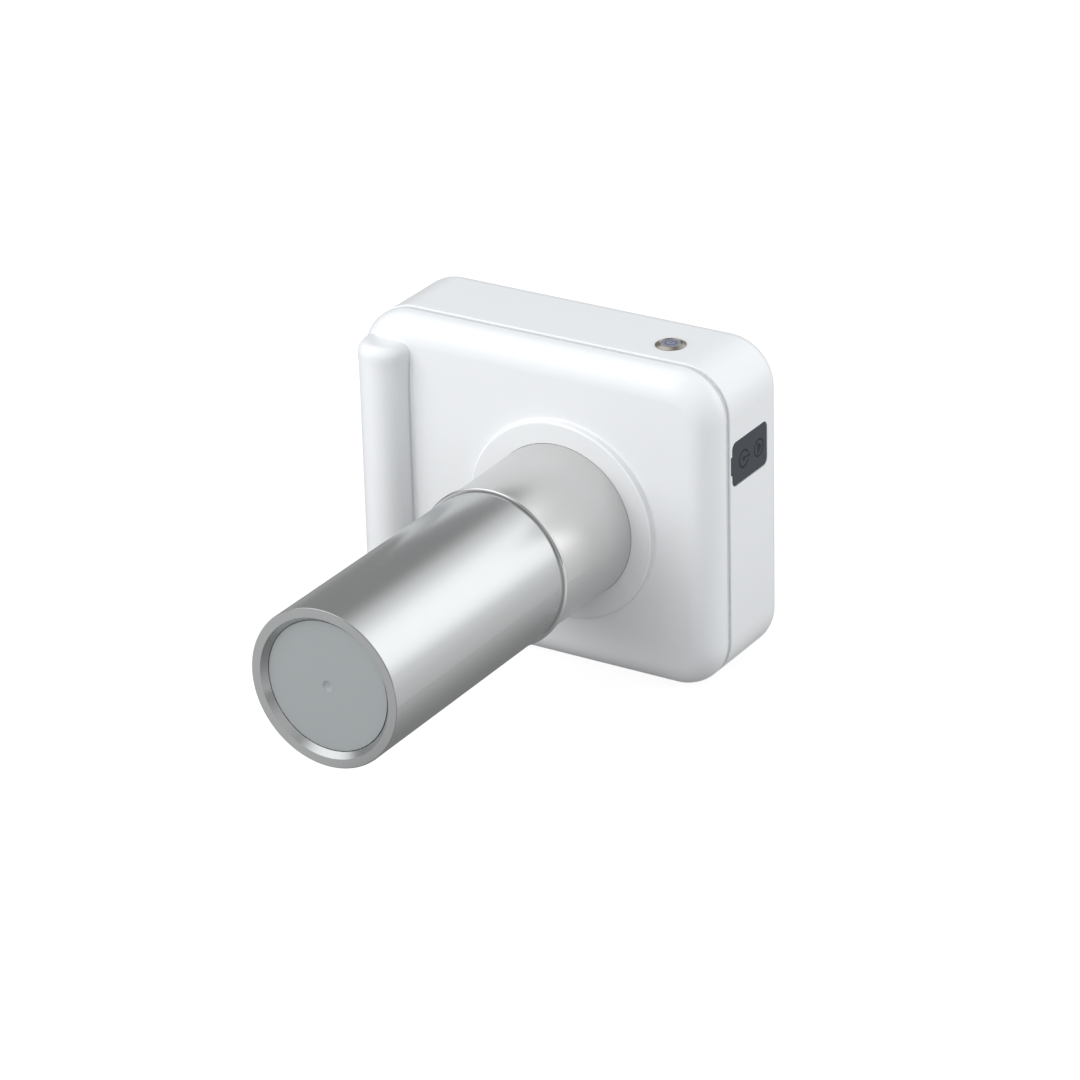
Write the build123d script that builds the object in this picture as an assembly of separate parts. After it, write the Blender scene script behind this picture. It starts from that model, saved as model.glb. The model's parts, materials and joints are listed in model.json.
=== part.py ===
"""Hand-held dental x-ray unit: a camera-shaped case with a long round cone on its front.

Millimetres, +Z up. The origin is the mouth of the tripod socket, in the middle of the
case's underside. The cone points along -Y, the screen side faces +Y, and +X is the side
with the port cover. Every piece is one node, written to parts/NODE.step.
"""
import os
from math import acos, atan2, cos, hypot, sin

from build123d import *

# Case
case_width = 183.0
case_height = 150.5
case_depth = 61.0
corner_radius = 22.0
front_fillet = 12.0
rear_fillet = 8.0
wall = 2.8
front_shell_depth = 13.0
groove_width = 3.2
groove_depth = 0.9
seam_edge_fillet = 0.4
tongue_thickness = 1.4
tongue_reach = 5.0
tongue_root = 3.0
seat_gap = 0.1
print_gap = 0.3

# Grip column on the front face, and the long panel let into it
grip_from_side = 17.0
grip_radius = 11.8
grip_centre_rise = 1.6
grip_foot_half_width = 12.7
grip_root_depth = 9.0
grip_end_gap = 11.0
grip_end_fillet = 5.0
panel_bottom_gap = 19.5
panel_top_gap = 19.3
panel_thickness = 2.0
panel_inset = 0.3

# Cone and its round boss
cone_x = 15.6
cone_z = 71.4
boss_radius = 47.5
boss_height = 2.9
boss_slope = 1.0
boss_edge_fillet = 0.9
boss_foot_fillet = 0.8
base_radius_rear = 36.7
base_radius_front = 36.1
base_length = 56.4
base_wall = 1.0
spigot_root = 4.0
flange_radius = 42.0
flange_thickness = 6.5
spigot_length = 12.0
ring_width = 2.4
ring_stand = 1.4
tube_radius = 35.9
tube_wall = 0.8
tube_reach = 188.6
rim_edge_fillet = 0.45
rim_hole_radius = 31.7
recess_depth = 2.8
recess_hole_radius = 29.5
rim_lip = 1.2
window_thickness = 2.0
window_radius = 33.0
dimple_radius = 2.4
dimple_depth = 0.8
retainer_width = 2.0
retainer_radius = 27.5
liner_thickness = 0.6
liner_length = 22.0

# Tube head: sealed box with the x-ray tube and its high voltage parts
head_width = 98.0
head_height = 76.0
head_depth = 34.6
head_wall = 2.5
lead_thickness = 2.0
head_corner = 8.0
lid_thickness = 5.0
ear_reach = 9.0
ear_height = 11.0
ear_thickness = 4.0
ear_offset = 19.0
port_radius = 14.0
filter_thickness = 1.6
collimator_thickness = 1.5
collimator_aperture = 6.0
envelope_radius = 11.2
envelope_length = 72.0
envelope_wall = 1.4
envelope_neck_radius = 6.5
envelope_neck_length = 7.0
anode_radius = 7.0
anode_stem_radius = 4.0
anode_tilt = 20.0
target_gap = 16.0
cathode_radius = 6.0
cathode_length = 9.0
saddle_width = 6.0
core_width = 34.0
core_height = 15.0
core_depth = 17.5
core_leg = 6.0
multiplier_height = 12.0
multiplier_width = 66.0
multiplier_capacitors = 6

# Boards and screen side
board_thickness = 1.6
board_width = 104.0
board_height = 88.0
standoff_length = 3.0
standoff_radius = 2.6
chips = ((-14.0, 8.0, 14.0), (16.0, 16.0, 10.0), (24.0, -14.0, 9.0))
chip_height = 1.4
capacitor_count = 4
capacitor_radius = 4.0
capacitor_height = 5.0
capacitor_pitch = 10.0
capacitor_row_x = -26.0
capacitor_row_z = -24.0
buzzer_radius = 6.0
buzzer_height = 5.0
buzzer_hole_radius = 1.2
buzzer_from_edge = 12.0
buzzer_drop = 4.0
lens_width = 76.0
lens_height = 58.0
lens_corner = 4.0
lens_thickness = 1.4
lens_ledge = 3.0
lens_x = 10.0
lens_from_top = 58.5
lens_sunk = 0.2
module_thickness = 4.2
module_glass_inset = 0.5
key_radius = 5.2
key_pitch = 19.0
key_z = 40.0
key_stand = 1.0
key_edge_fillet = 0.8
key_travel = 0.8
key_gap = 0.3
key_flange = 1.4
key_flange_thickness = 1.1
key_board_margin = 1.0
dome_radius = 3.2
dome_height = 0.6
key_board_thickness = 1.2
key_board_lug = 3.0
exposure_from_side = 25.5
exposure_from_top = 42.5
exposure_radius = 8.5
exposure_stand = 1.6
exposure_travel = 1.5
exposure_edge_fillet = 0.9
exposure_depth = 5.0
exposure_slack = 0.4
exposure_dish_radius = 30.0
exposure_dish_depth = 0.8
exposure_bezel_width = 2.4
exposure_bezel_stand = 0.8
exposure_bezel_fillet = 0.6
exposure_floor_thickness = 2.1
exposure_flange_width = 2.0
exposure_flange_thickness = 1.5

# Power button on the top
power_from_side = 37.8
power_y = 0.8
power_bezel_radius = 7.0
power_bezel_height = 1.1
power_bezel_chamfer = 0.7
power_barrel_radius = 5.9
power_barrel_length = 15.0
power_cap_radius = 4.7
power_cap_clearance = 0.08
power_travel = 1.2
power_nut_radius = 8.2
power_nut_thickness = 2.4
power_switch_height = 8.0

# Port cover on the +X side, with two sockets behind it
cover_length = 30.5
cover_height = 20.4
cover_thickness = 2.0
cover_corner = 3.0
cover_gap = 0.3
cover_y = 3.0
cover_from_top = 44.9
cover_tab_height = 8.2
cover_tab_length = 1.2
cover_edge_fillet = 0.5
port_pitch = 13.4
port_floor = 2.0
port_margin = 3.0
charge_bore = 3.0
remote_bore = 1.85
jack_body = 9.0
jack_length = 11.0
jack_bore_length = 10.0
port_board_margin = 1.0

# Battery behind the grip: two pairs of round cells end to end
cell_radius = 9.1
cell_end_gap = 5.05
cell_gap = 0.2
holder_wall = 1.4
holder_from_grip = 3.25
holder_stand = 7.4
holder_corner = 4.5
holder_inner_corner = 1.0
rib_width = 4.0
contact_thickness = 0.5

# Fasteners and tripod socket
case_screw_from_left = 39.5
case_screw_from_right = 13.5
case_screw_from_end = 15.5
boss_outer_radius = 4.2
screw_radius = 1.5
screw_clearance = 0.2
screw_head_radius = 2.8
screw_head_height = 2.0
screw_grip_length = 12.0
counterbore_radius = 3.1
counterbore_floor = 6.0
insert_radius = 5.0
insert_length = 10.0
insert_bore = 2.55
insert_boss_wall = 3.2

FRONT = -case_depth / 2
REAR = case_depth / 2
INNER_FRONT = FRONT + wall
INNER_REAR = REAR - wall
SEAM_FRONT = FRONT + front_shell_depth
SEAM_REAR = SEAM_FRONT + groove_width
SIDE = case_width / 2
FAR = 400.0
GRIP_X = -SIDE + grip_from_side
GRIP_TOP = case_height - grip_end_gap
PANEL_TOP = case_height - panel_top_gap
LENS_Z = case_height - lens_from_top
EXPOSURE_X = -SIDE + exposure_from_side
EXPOSURE_Z = case_height - exposure_from_top
POWER_X = SIDE - power_from_side
COVER_Z = case_height - cover_from_top
HOLDER_X = GRIP_X + holder_from_grip
CELL_LENGTH = case_height / 2 - wall - cell_end_gap - holder_wall - 2 * contact_thickness


# Plain helpers: a profile carried along one axis
def along_y(profile, y_front, y_back):
    """Solid of a profile drawn in X and Z, between two values of Y."""
    return extrude(Plane.XZ.offset(-y_back) * profile, amount=y_back - y_front, dir=(0, -1, 0))


def along_z(profile, z_low, z_high):
    """Solid of a profile drawn in X and Y, between two values of Z."""
    return extrude(Pos(0, 0, z_low) * profile, amount=z_high - z_low, dir=(0, 0, 1))


def along_x(profile, x_low, x_high):
    """Solid of a profile drawn in Y and Z, between two values of X."""
    return extrude(Plane.YZ.offset(x_low) * profile, amount=x_high - x_low, dir=(1, 0, 0))


def rod_y(x, z, radius, y_front, y_back):
    return along_y(Pos(x, z) * Circle(radius), y_front, y_back)


def block(x_low, x_high, y_low, y_high, z_low, z_high):
    """Plain block from its limits."""
    size = (x_high - x_low, y_high - y_low, z_high - z_low)
    centre = ((x_low + x_high) / 2, (y_low + y_high) / 2, (z_low + z_high) / 2)
    return Pos(*centre) * Box(*size)


def turned_about_cone(points):
    """Solid turned about the cone's axis from points of (radius, Y)."""
    outline = Polyline(*[(radius, -y) for radius, y in points], close=True)
    profile = make_face(outline)
    turned = revolve(profile, Axis.Y)
    return Pos(cone_x, 0, cone_z) * Rot(180, 0, 0) * turned


# Case
def case_outline(inset):
    return Pos(0, case_height / 2) * RectangleRounded(
        case_width - 2 * inset, case_height - 2 * inset, corner_radius - inset)


def case_body(inset):
    """The whole case as one rounded block, drawn in by inset on every side."""
    body = along_y(case_outline(inset), FRONT + inset, REAR - inset)
    body = fillet(body.faces().sort_by(Axis.Y)[0].edges(), front_fillet - inset)
    return fillet(body.faces().sort_by(Axis.Y)[-1].edges(), rear_fillet - inset)


def case_ring(outer_inset, inner_inset, y_front, y_back):
    """Band that follows the case's outline."""
    return along_y(case_outline(outer_inset) - case_outline(inner_inset), y_front, y_back)


def grip_section(inset):
    """Section of the grip column: a round nose on two drafted flanks."""
    radius = grip_radius - inset
    foot = grip_foot_half_width - inset
    centre_y = FRONT - grip_centre_rise
    reach = hypot(foot, grip_centre_rise)
    touch = atan2(grip_centre_rise, foot) - acos(radius / reach)
    touch_x = radius * cos(touch)
    touch_y = centre_y + radius * sin(touch)
    tip = (GRIP_X, centre_y - radius)
    nose = ThreePointArc((GRIP_X + touch_x, touch_y), tip, (GRIP_X - touch_x, touch_y))
    root_y = FRONT + grip_root_depth
    rest = Polyline(
        (GRIP_X - touch_x, touch_y),
        (GRIP_X - foot, FRONT),
        (GRIP_X - foot, root_y),
        (GRIP_X + foot, root_y),
        (GRIP_X + foot, FRONT),
        (GRIP_X + touch_x, touch_y))
    return make_face([*nose.edges(), *rest.edges()])


def grip_column(inset, z_low, z_high, end_fillet):
    """Grip column with its two ends rounded over."""
    column = along_z(grip_section(inset), z_low, z_high)
    rear_y = FRONT + grip_root_depth
    for face in (column.faces().sort_by(Axis.Z)[0], column.faces().sort_by(Axis.Z)[-1]):
        rims = [edge for edge in face.edges() if edge.center().Y < rear_y - seat_gap]
        column = fillet(rims, end_fillet)
    return column


HOLDER_FRONT = INNER_FRONT + holder_stand
HOLDER_SIDE = cell_radius + cell_gap + holder_wall
CASE_SCREWS = [
    (x, z)
    for x in (-SIDE + case_screw_from_left, SIDE - case_screw_from_right)
    for z in (case_screw_from_end, case_height - case_screw_from_end)
]
EAR_SPOTS = [
    (cone_x + side * (head_width / 2 + boss_outer_radius + print_gap), cone_z + up * ear_offset)
    for side in (-1, 1)
    for up in (-1, 1)
]
HEAD_FRONT = INNER_FRONT + flange_thickness
HEAD_REAR = HEAD_FRONT + head_depth
CAVITY_REAR = HEAD_REAR - lid_thickness
EAR_FRONT = CAVITY_REAR - ear_thickness
PORT_POCKET_Z = (COVER_Z - cover_height / 2 - port_margin, COVER_Z + cover_height / 2 + port_margin)
OUTER_CASE = case_body(0)
INNER_CASE = case_body(wall)


def make_front_shell():
    shell = OUTER_CASE & block(-FAR, FAR, -FAR, SEAM_FRONT, -FAR, FAR)
    shell = fillet(shell.faces().sort_by(Axis.Y)[-1].edges(), seam_edge_fillet)
    caps = grip_column(0, grip_end_gap, GRIP_TOP, grip_end_fillet)
    caps -= block(-FAR, FAR, -FAR, FAR, panel_bottom_gap, PANEL_TOP)
    shell += caps
    shell += grip_column(panel_thickness + panel_inset, grip_end_gap + panel_thickness,
                         GRIP_TOP - panel_thickness, grip_end_fillet - panel_thickness)
    boss = Pos(cone_x, FRONT, cone_z) * Rot(90, 0, 0) * Cone(
        boss_radius, boss_radius - boss_slope, boss_height, align=(Align.CENTER, Align.CENTER, Align.MIN))
    boss = fillet(boss.faces().sort_by(Axis.Y)[0].edges(), boss_edge_fillet)
    shell += boss
    circles = shell.edges().filter_by(GeomType.CIRCLE)
    foot = [edge for edge in circles if abs(edge.radius - boss_radius) < seat_gap]
    shell = fillet(foot, boss_foot_fillet)
    shell -= INNER_CASE
    hollow = along_z(
        grip_section(panel_thickness + panel_inset + wall),
        grip_end_gap + panel_thickness + wall,
        GRIP_TOP - panel_thickness - wall)
    shell -= hollow
    shell += case_ring(wall / 2, wall + seat_gap + tongue_thickness, SEAM_FRONT - tongue_root, SEAM_FRONT)
    shell += case_ring(wall + seat_gap, wall + seat_gap + tongue_thickness,
                       SEAM_FRONT - tongue_root, SEAM_REAR + tongue_reach)
    for x, z in CASE_SCREWS:
        shell += rod_y(x, z, boss_outer_radius, INNER_FRONT - wall / 2, SEAM_REAR)
        shell -= rod_y(x, z, screw_radius, SEAM_REAR - screw_grip_length, SEAM_REAR)
    for x, z in EAR_SPOTS:
        shell += rod_y(x, z, boss_outer_radius, INNER_FRONT - wall / 2, EAR_FRONT)
        shell -= rod_y(x, z, screw_radius, EAR_FRONT - screw_grip_length, EAR_FRONT)
    for z in (case_height / 4, 3 * case_height / 4):
        shell += block(HOLDER_X - HOLDER_SIDE - rib_width / 2, HOLDER_X + HOLDER_SIDE + rib_width,
                       INNER_FRONT - seat_gap, HOLDER_FRONT, z - rib_width / 2, z + rib_width / 2)
    shell -= block(0, FAR, SEAM_REAR - seat_gap, FAR, *PORT_POCKET_Z)
    return shell - rod_y(cone_x, cone_z, base_radius_rear + seat_gap, -FAR, SEAM_FRONT)


def make_grip_panel():
    panel = along_z(grip_section(panel_inset) - grip_section(panel_thickness + panel_inset),
                    panel_bottom_gap + seat_gap, PANEL_TOP - seat_gap)
    return panel - OUTER_CASE


def make_seam_gasket():
    return case_ring(groove_depth, wall + seat_gap, SEAM_FRONT, SEAM_REAR)


def cover_profile(gap):
    """Outline of the port cover with its pull tab, grown by gap."""
    plate = Pos(cover_y, COVER_Z) * RectangleRounded(
        cover_length + 2 * gap, cover_height + 2 * gap, cover_corner + gap)
    tab = Pos(cover_y - cover_length / 2, COVER_Z) * Rectangle(
        2 * (cover_tab_length + gap), cover_tab_height + 2 * gap)
    return plate + tab


PORT_FLOOR_X = SIDE - cover_thickness
JACK_SPOTS = {"charge": cover_y - port_pitch / 2, "remote": cover_y + port_pitch / 2}
JACK_FACE_X = PORT_FLOOR_X - port_floor
KEY_SPOTS = [lens_x + (index - 1.5) * key_pitch for index in range(4)]
KEY_FACE_Y = INNER_REAR - key_gap
KEY_BACK_Y = KEY_FACE_Y - key_flange_thickness
DOME_TOP_Y = KEY_BACK_Y - key_travel - key_gap
KEY_BOARD_REAR = DOME_TOP_Y - dome_height
KEY_BOARD_SCREWS = [lens_x + side * (2 * key_pitch + key_board_lug) for side in (-1, 1)]


def make_rear_shell():
    shell = OUTER_CASE & block(-FAR, FAR, SEAM_REAR, FAR, -FAR, FAR)
    shell = fillet(shell.faces().sort_by(Axis.Y)[0].edges(), seam_edge_fillet)
    shell -= INNER_CASE
    for x, z in CASE_SCREWS:
        shell += rod_y(x, z, boss_outer_radius + tongue_thickness, SEAM_REAR, INNER_REAR + wall / 2)
        shell -= rod_y(x, z, screw_radius + screw_clearance, -FAR, FAR)
        shell -= rod_y(x, z, counterbore_radius, SEAM_REAR + counterbore_floor, FAR)
    shell += block(JACK_FACE_X, SIDE - wall / 2, SEAM_REAR, cover_y + cover_length / 2 + port_margin,
                   PORT_POCKET_Z[0] + seat_gap, PORT_POCKET_Z[1] - seat_gap)
    shell -= along_x(cover_profile(cover_gap), PORT_FLOOR_X, FAR)
    for name, bore in (("charge", charge_bore), ("remote", remote_bore)):
        shell -= along_x(Pos(JACK_SPOTS[name], COVER_Z) * Circle(bore + print_gap), JACK_FACE_X, FAR)
    boss_radius_tripod = insert_radius + insert_boss_wall
    shell += along_z(Circle(boss_radius_tripod), wall / 2, insert_length + insert_boss_wall)
    shell -= along_z(Circle(insert_radius), 0, insert_length)
    shell -= along_z(Pos(POWER_X, power_y) * Circle(power_barrel_radius), case_height - 2 * wall, FAR)
    lens_seat = Pos(lens_x, LENS_Z) * RectangleRounded(
        lens_width + 2 * seat_gap, lens_height + 2 * seat_gap, lens_corner + seat_gap)
    lens_hole = Pos(lens_x, LENS_Z) * RectangleRounded(
        lens_width - 2 * lens_ledge, lens_height - 2 * lens_ledge, lens_corner / 2)
    shell -= along_y(lens_seat, REAR - lens_sunk - lens_thickness, FAR)
    shell -= along_y(lens_hole, INNER_REAR - wall, FAR)
    for x in KEY_SPOTS:
        shell -= rod_y(x, key_z, key_radius + key_gap, INNER_REAR - wall, FAR)
    for x in KEY_BOARD_SCREWS:
        shell += rod_y(x, key_z, boss_outer_radius, KEY_BOARD_REAR, INNER_REAR + wall / 2)
        shell -= rod_y(x, key_z, screw_radius, KEY_BOARD_REAR, INNER_REAR)
    shell -= rod_y(EXPOSURE_X, EXPOSURE_Z, exposure_radius + exposure_bezel_width, INNER_REAR - wall, FAR)
    return shell


# Cone
RING_Y = FRONT - base_length
TUBE_REAR = RING_Y - ring_width
TIP_Y = FRONT - tube_reach
SPIGOT_RADIUS = tube_radius - tube_wall - seat_gap
SPIGOT_BORE = SPIGOT_RADIUS - base_wall
BASE_BORE = base_radius_front - base_wall
LEDGE_Y = TIP_Y + recess_depth + rim_lip
WINDOW_REAR = LEDGE_Y + window_thickness


def make_cone_base():
    """Flanged base section, tapering to the spigot that carries the front tube."""
    return turned_about_cone([
        (BASE_BORE, HEAD_FRONT),
        (flange_radius, HEAD_FRONT),
        (flange_radius, INNER_FRONT),
        (base_radius_rear, INNER_FRONT),
        (base_radius_rear, FRONT - boss_height),
        (base_radius_front, RING_Y),
        (SPIGOT_RADIUS, RING_Y),
        (SPIGOT_RADIUS, TUBE_REAR - spigot_length),
        (SPIGOT_BORE, TUBE_REAR - spigot_length),
        (SPIGOT_BORE, RING_Y + spigot_root),
        (BASE_BORE, RING_Y + spigot_root)])


def make_cone_ring():
    """Polished ring with a rounded edge between the base section and the front tube."""
    ring = turned_about_cone([
        (SPIGOT_RADIUS, RING_Y),
        (tube_radius + ring_stand, RING_Y),
        (tube_radius + ring_stand, TUBE_REAR),
        (SPIGOT_RADIUS, TUBE_REAR)])
    rims = [edge for edge in ring.edges().filter_by(GeomType.CIRCLE) if edge.radius > tube_radius]
    return fillet(rims, ring_width / 2 - seat_gap)


def make_cone_tube():
    """Front tube with its turned-in rim, the bevelled recess and the window's seat."""
    inner = tube_radius - tube_wall
    tube = turned_about_cone([
        (inner, TUBE_REAR),
        (tube_radius, TUBE_REAR),
        (tube_radius, TIP_Y),
        (rim_hole_radius, TIP_Y),
        (recess_hole_radius, TIP_Y + recess_depth),
        (recess_hole_radius, LEDGE_Y),
        (window_radius, LEDGE_Y),
        (window_radius, WINDOW_REAR + retainer_width),
        (inner, WINDOW_REAR + retainer_width)])
    face_rims = tube.faces().sort_by(Axis.Y)[0].edges().sort_by(SortBy.LENGTH)
    return fillet(face_rims[-1], rim_edge_fillet)


def make_cone_window():
    """Plastic end window: a disc with a raised field in the rim's hole and a centre dimple."""
    field_radius = recess_hole_radius - print_gap
    return turned_about_cone([
        (0, WINDOW_REAR),
        (window_radius - seat_gap, WINDOW_REAR),
        (window_radius - seat_gap, LEDGE_Y),
        (field_radius, LEDGE_Y),
        (field_radius, LEDGE_Y - rim_lip),
        (dimple_radius, LEDGE_Y - rim_lip),
        (0, LEDGE_Y - rim_lip + dimple_depth)])


def make_window_retainer():
    return turned_about_cone([
        (retainer_radius, WINDOW_REAR),
        (window_radius, WINDOW_REAR),
        (window_radius, WINDOW_REAR + retainer_width),
        (retainer_radius, WINDOW_REAR + retainer_width)])


def make_cone_liner():
    """Lead sleeve inside the base section."""
    return turned_about_cone([
        (BASE_BORE - liner_thickness, HEAD_FRONT - collimator_thickness),
        (BASE_BORE, HEAD_FRONT - collimator_thickness),
        (BASE_BORE, HEAD_FRONT - collimator_thickness - liner_length),
        (BASE_BORE - liner_thickness, HEAD_FRONT - collimator_thickness - liner_length)])


def make_collimator_plate():
    return turned_about_cone([
        (collimator_aperture, HEAD_FRONT - collimator_thickness),
        (BASE_BORE, HEAD_FRONT - collimator_thickness),
        (BASE_BORE, HEAD_FRONT),
        (collimator_aperture, HEAD_FRONT)])


def make_beam_filter():
    return rod_y(cone_x, cone_z, port_radius, HEAD_FRONT, HEAD_FRONT + filter_thickness)


# Tube head
def head_outline(inset):
    return Pos(cone_x, cone_z) * RectangleRounded(
        head_width - 2 * inset, head_height - 2 * inset, head_corner - inset)


TANK_FRONT = HEAD_FRONT + head_wall
CAVITY_FRONT = TANK_FRONT + lead_thickness
INSIDE_REAR = CAVITY_REAR - lead_thickness
FOCUS_Y = CAVITY_FRONT + envelope_radius + print_gap
CAVITY_LOW = cone_z - head_height / 2 + head_wall + lead_thickness
CAVITY_HIGH = cone_z + head_height / 2 - head_wall - lead_thickness


def make_tubehead_housing():
    housing = along_y(head_outline(0), HEAD_FRONT, CAVITY_REAR)
    ear_width = head_width + 2 * ear_reach
    for up in (-1, 1):
        ears = RectangleRounded(ear_width, ear_height, ear_reach / 2)
        housing += along_y(Pos(cone_x, cone_z + up * ear_offset) * ears, EAR_FRONT, CAVITY_REAR)
    housing -= along_y(head_outline(head_wall), TANK_FRONT, CAVITY_REAR)
    housing -= rod_y(cone_x, cone_z, port_radius, HEAD_FRONT, TANK_FRONT)
    for x, z in EAR_SPOTS:
        housing -= rod_y(x, z, screw_radius + screw_clearance, EAR_FRONT, HEAD_REAR)
    return housing


def make_lead_lining():
    """Lead tray pressed into the tank, with a hole where the beam leaves."""
    tray = along_y(head_outline(head_wall), TANK_FRONT, CAVITY_REAR)
    tray -= along_y(head_outline(head_wall + lead_thickness), CAVITY_FRONT, CAVITY_REAR)
    return tray - rod_y(cone_x, cone_z, port_radius, TANK_FRONT, CAVITY_FRONT)


def make_lid_shield():
    """Lead sheet under the lid, inside the lining's rim."""
    return along_y(head_outline(head_wall + lead_thickness), INSIDE_REAR, CAVITY_REAR)


LID_SPOTS = [
    (cone_x + side * (head_width / 2 - head_corner), cone_z + up * (head_height / 2 - head_corner))
    for side in (-1, 1)
    for up in (-1, 1)
]


def make_tubehead_lid():
    return along_y(head_outline(0), CAVITY_REAR, HEAD_REAR)


def turned_about_x(points, y, z):
    """Solid turned about a line along X from points of (X, radius)."""
    profile = make_face(Polyline(*points, close=True))
    return Pos(0, y, z) * revolve(profile, Axis.X)


GLASS_LEFT = cone_x - envelope_length / 2
GLASS_RIGHT = cone_x + envelope_length / 2


def make_tube_envelope():
    """Hollow glass bulb with a narrower neck at each end; the anode's stem leaves on the right."""
    neck = envelope_neck_length
    inner = envelope_radius - envelope_wall
    inner_neck = envelope_neck_radius - envelope_wall
    return turned_about_x([
        (GLASS_LEFT, 0),
        (GLASS_LEFT, envelope_neck_radius),
        (GLASS_LEFT + neck, envelope_neck_radius),
        (GLASS_LEFT + 2 * neck, envelope_radius),
        (GLASS_RIGHT - 2 * neck, envelope_radius),
        (GLASS_RIGHT - neck, envelope_neck_radius),
        (GLASS_RIGHT, envelope_neck_radius),
        (GLASS_RIGHT, anode_stem_radius),
        (GLASS_RIGHT - neck, anode_stem_radius),
        (GLASS_RIGHT - 2 * neck, inner),
        (GLASS_LEFT + 2 * neck, inner),
        (GLASS_LEFT + neck, inner_neck),
        (GLASS_LEFT + envelope_wall, inner_neck),
        (GLASS_LEFT + envelope_wall, 0)], FOCUS_Y, cone_z)


def make_anode():
    """Copper anode with its slanted target face on the beam's axis."""
    length = GLASS_RIGHT - 2 * envelope_neck_length - cone_x
    body = along_x(Pos(FOCUS_Y, cone_z) * Circle(anode_radius), cone_x - anode_radius, cone_x + length)
    slant = Pos(cone_x, FOCUS_Y, cone_z) * Rot(0, 0, -anode_tilt) * Pos(-head_width / 2, 0, 0) * Box(
        head_width, head_width, head_height)
    stem = along_x(Pos(FOCUS_Y, cone_z) * Circle(anode_stem_radius), cone_x + length / 2, GLASS_RIGHT)
    return body - slant + stem


def make_cathode():
    """Focusing cup with its filament slot, on a rod from the left end of the bulb."""
    cup_right = cone_x - target_gap + cathode_length / 2
    cup = along_x(Pos(FOCUS_Y, cone_z) * Circle(cathode_radius), cup_right - cathode_length, cup_right)
    slot_left = cup_right - cathode_length / 3
    slot = block(slot_left, cup_right, FOCUS_Y - cathode_radius / 4, FOCUS_Y + cathode_radius / 4,
                 cone_z - cathode_radius / 2, cone_z + cathode_radius / 2)
    rod = along_x(Pos(FOCUS_Y, cone_z) * Circle(cathode_radius / 3), GLASS_LEFT + envelope_wall, slot_left)
    return cup - slot + rod


def make_tube_saddles():
    """Two insulating saddles that carry the bulb's necks on the housing's front wall."""
    saddles = []
    for x in (GLASS_LEFT, GLASS_RIGHT - envelope_neck_length):
        saddle = block(x, x + saddle_width, CAVITY_FRONT, FOCUS_Y + envelope_neck_radius,
                       cone_z - envelope_radius, cone_z + envelope_radius)
        saddle -= along_x(Pos(FOCUS_Y, cone_z) * Circle(envelope_neck_radius), x, x + saddle_width)
        saddle -= block(x, x + saddle_width, FOCUS_Y, FAR, cone_z - envelope_neck_radius,
                        cone_z + envelope_neck_radius)
        saddles.append(saddle)
    return Compound(children=[s for group in saddles for s in group.solids()])


def make_transformer_core():
    """Closed ferrite core standing on the cavity's floor."""
    outline = Pos(cone_x, CAVITY_LOW + core_height / 2) * Rectangle(core_width, core_height)
    window = Pos(cone_x, CAVITY_LOW + core_height / 2) * Rectangle(
        core_width - 2 * core_leg, core_height - core_leg)
    return along_y(outline - window, INSIDE_REAR - core_depth, INSIDE_REAR)


def make_transformer_windings():
    """Two coils, one round each upright leg of the core."""
    coils = []
    height = core_height - core_leg
    for side in (-1, 1):
        x = cone_x + side * (core_width - core_leg) / 2
        outer = core_leg / 2 + height / 2
        coil = block(x - outer, x + outer, INSIDE_REAR - core_depth - outer / 2, INSIDE_REAR,
                     CAVITY_LOW + core_leg / 2, CAVITY_LOW + core_leg / 2 + height)
        coil = fillet(coil.edges().filter_by(Axis.Z).sort_by(Axis.Y)[:2], outer / 3)
        coil -= block(x - core_leg / 2, x + core_leg / 2, INSIDE_REAR - core_depth, INSIDE_REAR, -FAR, FAR)
        coils.append(coil)
    return Compound(children=[s for coil in coils for s in coil.solids()])


def make_multiplier():
    """High voltage multiplier board under the cavity's roof, with its row of capacitors."""
    board = block(cone_x - multiplier_width / 2, cone_x + multiplier_width / 2,
                  INSIDE_REAR - core_depth, INSIDE_REAR, CAVITY_HIGH - board_thickness, CAVITY_HIGH)
    pitch = multiplier_width / multiplier_capacitors
    radius = pitch / 3
    for index in range(multiplier_capacitors):
        x = cone_x + (index - (multiplier_capacitors - 1) / 2) * pitch
        board += along_z(Pos(x, INSIDE_REAR - core_depth / 2) * Circle(radius),
                         CAVITY_HIGH - multiplier_height, CAVITY_HIGH - board_thickness)
    return board


# Screws
def screw_along_y(x, z, head_front, grip, toward):
    """Pan-head screw whose shank runs from its head towards -Y (-1) or +Y (1)."""
    shank_end = head_front + toward * grip
    head_end = head_front - toward * screw_head_height
    shank = rod_y(x, z, screw_radius, min(head_front, shank_end), max(head_front, shank_end))
    head = rod_y(x, z, screw_head_radius, min(head_front, head_end), max(head_front, head_end))
    half = screw_head_height / 2
    socket = rod_y(x, z, screw_head_radius / 2, head_end - half, head_end + half)
    return shank + head - socket


def group(solids):
    """One node of several separate solids."""
    return Compound(children=[solid for shape in solids for solid in shape.solids()])


def make_case_screws():
    seat = SEAM_REAR + counterbore_floor
    grip = counterbore_floor + screw_grip_length
    return group(screw_along_y(x, z, seat, grip, -1) for x, z in CASE_SCREWS)


def make_tubehead_screws():
    return group(screw_along_y(x, z, CAVITY_REAR, ear_thickness + screw_grip_length, -1)
                 for x, z in EAR_SPOTS)


# Boards and screen side
BOARD_FRONT = HEAD_REAR + standoff_length
BOARD_REAR = BOARD_FRONT + board_thickness


def make_board_standoffs():
    return group(rod_y(x, z, standoff_radius, HEAD_REAR, BOARD_FRONT) for x, z in LID_SPOTS)


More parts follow.
